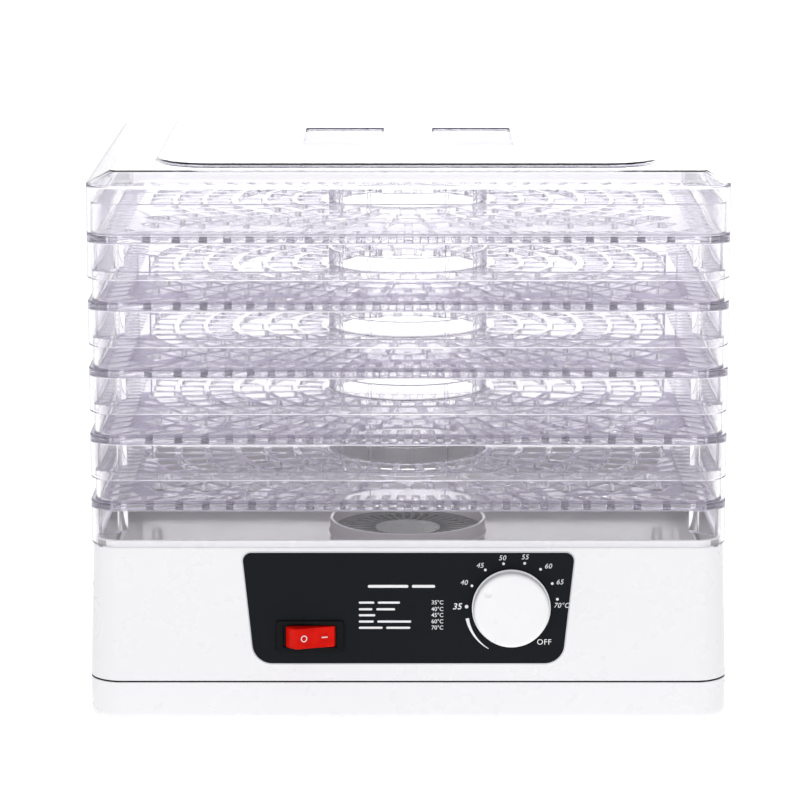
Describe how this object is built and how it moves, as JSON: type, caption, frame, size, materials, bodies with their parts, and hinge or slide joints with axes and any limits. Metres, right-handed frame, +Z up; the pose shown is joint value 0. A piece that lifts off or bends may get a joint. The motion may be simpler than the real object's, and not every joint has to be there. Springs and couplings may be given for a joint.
{
  "type": "food dehydrator",
  "caption": "Countertop food dehydrator: a white base with a heater and fan, a dark control panel, and a stack of clear slotted trays under a clear lid.",
  "frame": {"origin": "middle of the footprint on the surface that the rubber feet stand on", "axes": "+Z up, +X to the right seen from the front, the control panel faces -Y"},
  "size_m": [0.333, 0.3033, 0.2939],
  "materials": {
    "clear_plastic": "clear polished polycarbonate-like plastic",
    "white_plastic": "white satin-gloss moulded plastic",
    "dark_panel": "satin black-blue printed overlay",
    "red_plastic": "translucent red rocker plastic",
    "black_plastic": "black moulded plastic",
    "grey_plastic": "grey heat-resistant plastic",
    "plated_steel": "zinc-plated steel",
    "laminations": "stacked steel laminations",
    "ceramic_body": "unglazed ceramic",
    "brass": "plain brass",
    "mica": "mica sheet",
    "heater_wire": "oxidised resistance wire",
    "coil_wire": "enamelled copper winding under tape",
    "block_plastic": "cream terminal plastic",
    "black_rubber": "black rubber"
  },
  "bodies": {
    "base": {"upper_housing": "white_plastic", "base_pan": "white_plastic", "control_panel": "dark_panel", "thermostat_body": "ceramic_body", "thermostat_nut": "brass", "switch_housing": "black_plastic", "switch_terminals": "brass", "air_guard": "grey_plastic", "heater_duct": "plated_steel", "heater_frame": "mica", "heater_coil": "heater_wire", "thermal_fuse": "ceramic_body", "motor_stator": "laminations", "motor_coil": "coil_wire", "bearing_brackets": "plated_steel", "motor_screws": "plated_steel", "cord_gland": "black_plastic", "terminal_block": "block_plastic", "housing_screws": "plated_steel", "rubber_feet": "black_rubber"},
    "knob": {"control_knob": "white_plastic", "thermostat_shaft": "plated_steel"},
    "rocker": {"switch_rocker": "red_plastic"},
    "fan": {"fan_impeller": "black_plastic", "motor_rotor": "plated_steel"},
    "tray_5": {"tray_5_frame": "clear_plastic", "tray_5_grille": "clear_plastic"},
    "tray_4": {"tray_4_frame": "clear_plastic", "tray_4_grille": "clear_plastic"},
    "tray_3": {"tray_3_frame": "clear_plastic", "tray_3_grille": "clear_plastic"},
    "tray_2": {"tray_2_frame": "clear_plastic", "tray_2_grille": "clear_plastic"},
    "tray_1": {"tray_1_frame": "clear_plastic", "tray_1_grille": "clear_plastic"},
    "lid": {"lid": "clear_plastic"}
  },
  "joints": [
    {"name": "tray_5_lift", "type": "slide", "parent": "base", "child": "tray_5", "axis": [0, 0, 1], "range_m": [0, 0.06]},
    {"name": "tray_4_lift", "type": "slide", "parent": "tray_5", "child": "tray_4", "axis": [0, 0, 1], "range_m": [0, 0.06]},
    {"name": "tray_3_lift", "type": "slide", "parent": "tray_4", "child": "tray_3", "axis": [0, 0, 1], "range_m": [0, 0.06]},
    {"name": "tray_2_lift", "type": "slide", "parent": "tray_3", "child": "tray_2", "axis": [0, 0, 1], "range_m": [0, 0.06]},
    {"name": "tray_1_lift", "type": "slide", "parent": "tray_2", "child": "tray_1", "axis": [0, 0, 1], "range_m": [0, 0.06]},
    {"name": "lid_lift", "type": "slide", "parent": "tray_1", "child": "lid", "axis": [0, 0, 1], "range_m": [0, 0.06]},
    {"name": "knob_turn", "type": "hinge", "parent": "base", "child": "knob", "pos_m": [0.0533, -0.14262, 0.066], "axis": [0, -0.9994, 0.0351], "range_deg": [-132, 170]},
    {"name": "rocker_tip", "type": "hinge", "parent": "base", "child": "rocker", "pos_m": [-0.051, -0.14015, 0.0509], "axis": [0, 0.0351, 0.9994], "range_deg": [-38, 0]},
    {"name": "fan_spin", "type": "hinge", "parent": "base", "child": "fan", "pos_m": [0, 0, 0.04], "axis": [0, 0, 1], "continuous": true}
  ]
}
